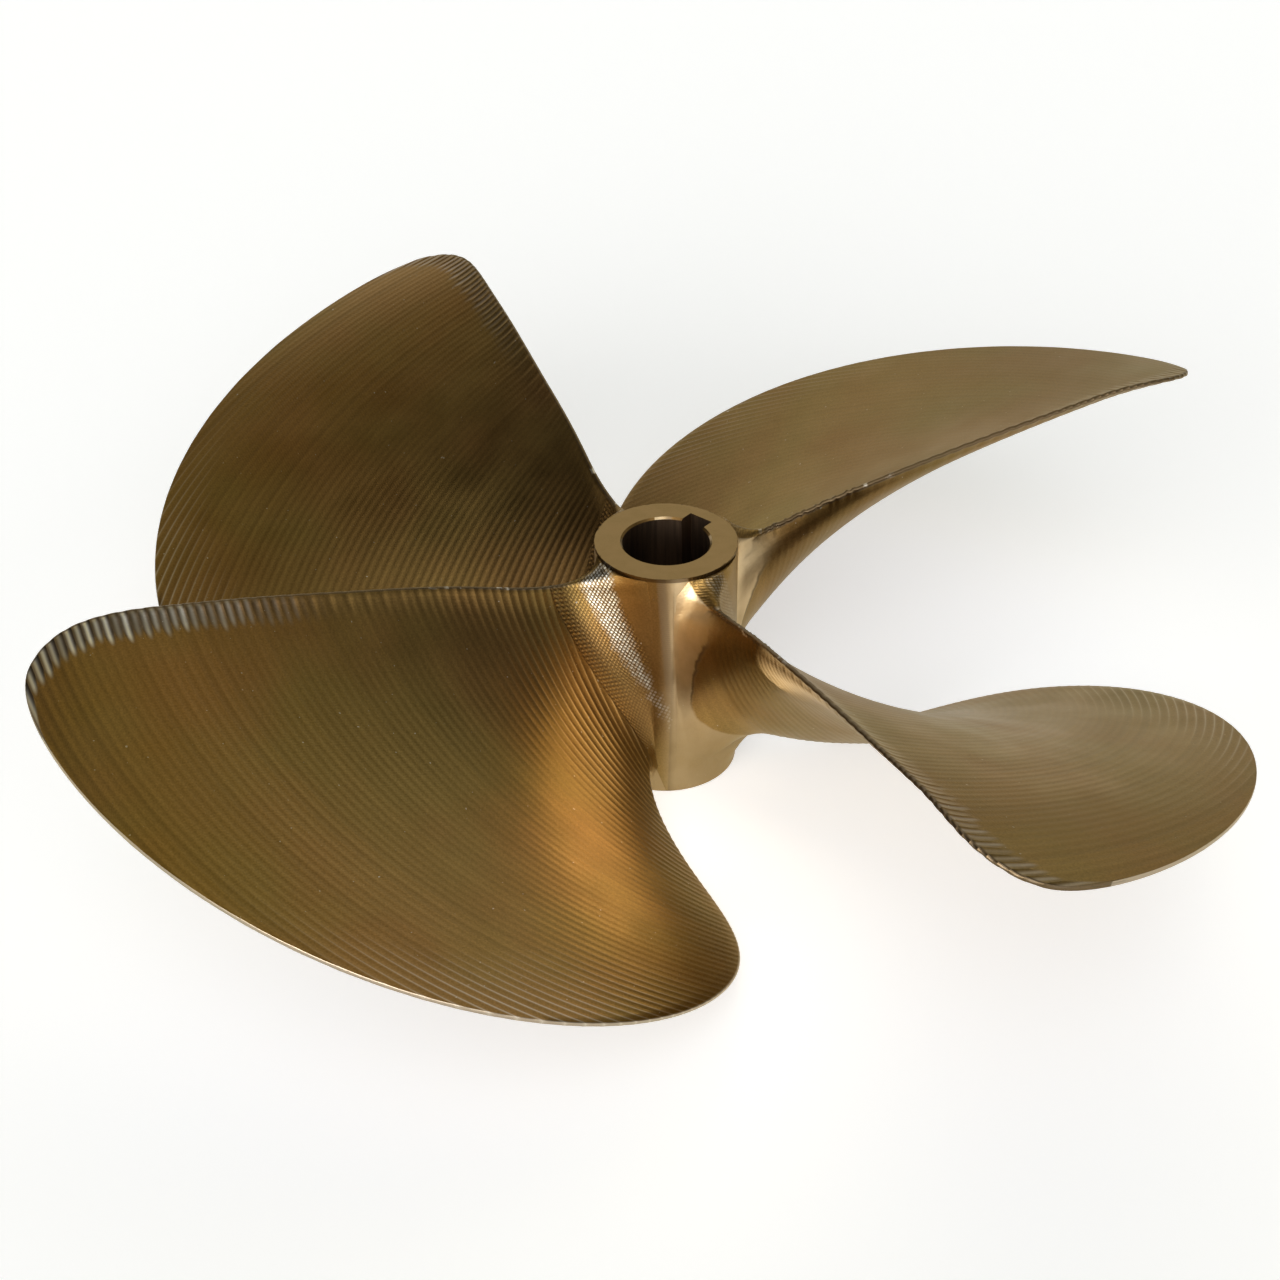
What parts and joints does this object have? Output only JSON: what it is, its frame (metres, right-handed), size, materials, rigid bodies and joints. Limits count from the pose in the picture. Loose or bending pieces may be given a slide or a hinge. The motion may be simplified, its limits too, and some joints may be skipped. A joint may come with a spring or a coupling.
{
  "type": "boat propeller",
  "caption": "Left-hand fixed-pitch boat propeller in milled bronze, with wide cupped blades, a tapered keyed bore and a short hub.",
  "frame": {"origin": "on the shaft axis, in the plane of the forward hub face that the propeller stands on", "axes": "+Z along the shaft axis from the forward hub face to the aft hub face, so aft is up; -Y faces the camera of the picture"},
  "size_m": [0.3328, 0.3328, 0.0935],
  "materials": {
    "bronze": "bare milled nickel aluminium bronze with fine tool marks"
  },
  "bodies": {
    "root": {"propeller": "bronze"}
  },
  "joints": []
}
